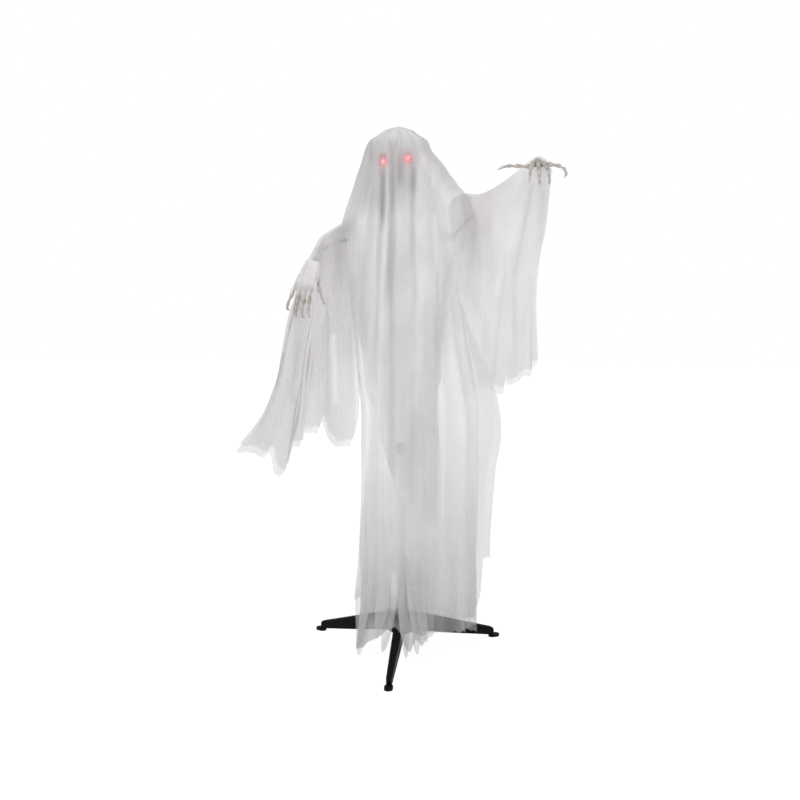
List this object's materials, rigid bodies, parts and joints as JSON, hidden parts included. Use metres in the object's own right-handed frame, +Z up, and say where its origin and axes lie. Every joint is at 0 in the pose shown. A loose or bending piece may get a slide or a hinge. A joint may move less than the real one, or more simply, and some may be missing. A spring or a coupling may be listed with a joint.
{
  "type": "animated ghost figure",
  "caption": "Standing animated ghost: a skull with glowing eyes and bony hands on a motor torso, draped in torn sheer gauze, with one arm raised, on a black tripod stand.",
  "frame": {"origin": "on the floor, under the middle of the figure's overall box", "axes": "+Z up, the figure faces -Y, and its raised left arm is on the +X side"},
  "size_m": [0.9473, 0.5224, 1.5878],
  "materials": {
    "stand": "black moulded plastic, slightly glossy",
    "rubber": "matte",
    "steel": "zinc plated",
    "black_steel": "black enamel",
    "housing": "off-white ABS, fine grain",
    "nylon": "satin",
    "circuit_board": "solder resist",
    "battery": "satin sleeve",
    "bone": "washed with grey paint",
    "lens": "clear red, lit",
    "gauze": "sheer open weave"
  },
  "bodies": {
    "stand": {"base_hub": "stand", "front_leg": "stand", "front_foot_pad": "rubber", "front_leg_screw": "steel", "left_leg": "stand", "left_foot_pad": "rubber", "left_leg_screw": "steel", "right_leg": "stand", "right_foot_pad": "rubber", "right_leg_screw": "steel", "lower_pole": "steel", "upper_pole": "steel", "pole_collar": "stand", "torso_housing": "housing", "torso_cover": "housing", "cover_screw_1": "steel", "cover_screw_2": "steel", "cover_screw_3": "steel", "cover_screw_4": "steel", "speaker": "black_steel", "circuit_board": "circuit_board", "battery_1": "battery", "battery_2": "battery", "battery_3": "battery", "switch_body": "black_steel", "gear_motor": "steel", "neck_bush": "nylon", "shoulder_bar": "steel", "left_shoulder_bracket": "steel", "left_shoulder_bolt": "steel", "left_shoulder_nut": "steel", "right_shoulder_bracket": "steel", "right_shoulder_bolt": "steel", "right_shoulder_nut": "steel", "robe": "gauze", "rear_drape": "gauze"},
    "head": {"neck_shaft": "steel", "neck_sector_gear": "nylon", "sector_set_screw": "steel", "neck_plate": "housing", "skull_face": "bone", "skull_back": "bone", "left_eye_lamp": "lens", "right_eye_lamp": "lens", "head_veil": "gauze"},
    "motor_output": {"motor_shaft": "steel", "motor_pinion": "nylon"},
    "left_arm": {"left_arm_rod": "steel", "left_sleeve": "gauze"},
    "left_hand": {"left_hand": "bone", "left_wrist_screw": "steel"},
    "right_arm": {"right_arm_rod": "steel", "right_sleeve": "gauze"},
    "right_hand": {"right_hand": "bone", "right_wrist_screw": "steel"},
    "battery_door": {"battery_door": "housing"},
    "switch_slider": {"switch_slider": "nylon"},
    "hub_snap_button": {"hub_snap_button": "steel"},
    "pole_snap_button": {"pole_snap_button": "steel"}
  },
  "joints": [
    {"name": "head_turn", "type": "hinge", "parent": "stand", "child": "head", "pos_m": [0, 0.08059, 1.22], "axis": [0, 0, 1], "range_deg": [-35, 35], "deforming": ["head_veil"]},
    {"name": "pinion_spin", "type": "hinge", "parent": "stand", "child": "motor_output", "pos_m": [0.04, 0.08059, 1.22], "axis": [0, 0, 1], "range_deg": [-83, 83]},
    {"name": "left_shoulder", "type": "hinge", "parent": "stand", "child": "left_arm", "pos_m": [0.15, 0.10259, 1.275], "axis": [0, -1, 0], "range_deg": [-30, 15], "deforming": ["left_sleeve"]},
    {"name": "left_wrist", "type": "hinge", "parent": "left_arm", "child": "left_hand", "pos_m": [0.401, -0.07741, 1.483], "axis": [0.6771, -0.5887, 0.4416], "range_deg": [-45, 45]},
    {"name": "right_shoulder", "type": "hinge", "parent": "stand", "child": "right_arm", "pos_m": [-0.15, 0.10259, 1.275], "axis": [0, 1, 0], "range_deg": [-15, 30], "deforming": ["right_sleeve"]},
    {"name": "right_wrist", "type": "hinge", "parent": "right_arm", "child": "right_hand", "pos_m": [-0.232, -0.12141, 1.193], "axis": [-0.0767, -0.9203, -0.3835], "range_deg": [-45, 45]},
    {"name": "battery_door_slide", "type": "slide", "parent": "stand", "child": "battery_door", "axis": [0, 0, -1], "range_m": [0, 0.07]},
    {"name": "power_switch", "type": "slide", "parent": "stand", "child": "switch_slider", "axis": [0, 0, 1], "range_m": [0, 0.006]},
    {"name": "hub_button_press", "type": "slide", "parent": "stand", "child": "hub_snap_button", "axis": [1, 0, 0], "range_m": [-0.0095, 0], "stiffness_N_per_m": 600},
    {"name": "pole_button_press", "type": "slide", "parent": "stand", "child": "pole_snap_button", "axis": [1, 0, 0], "range_m": [-0.005, 0], "stiffness_N_per_m": 600}
  ],
  "couplings": [
    {"joint": "pinion_spin", "follows": "head_turn", "ratio": -2.3333}
  ]
}
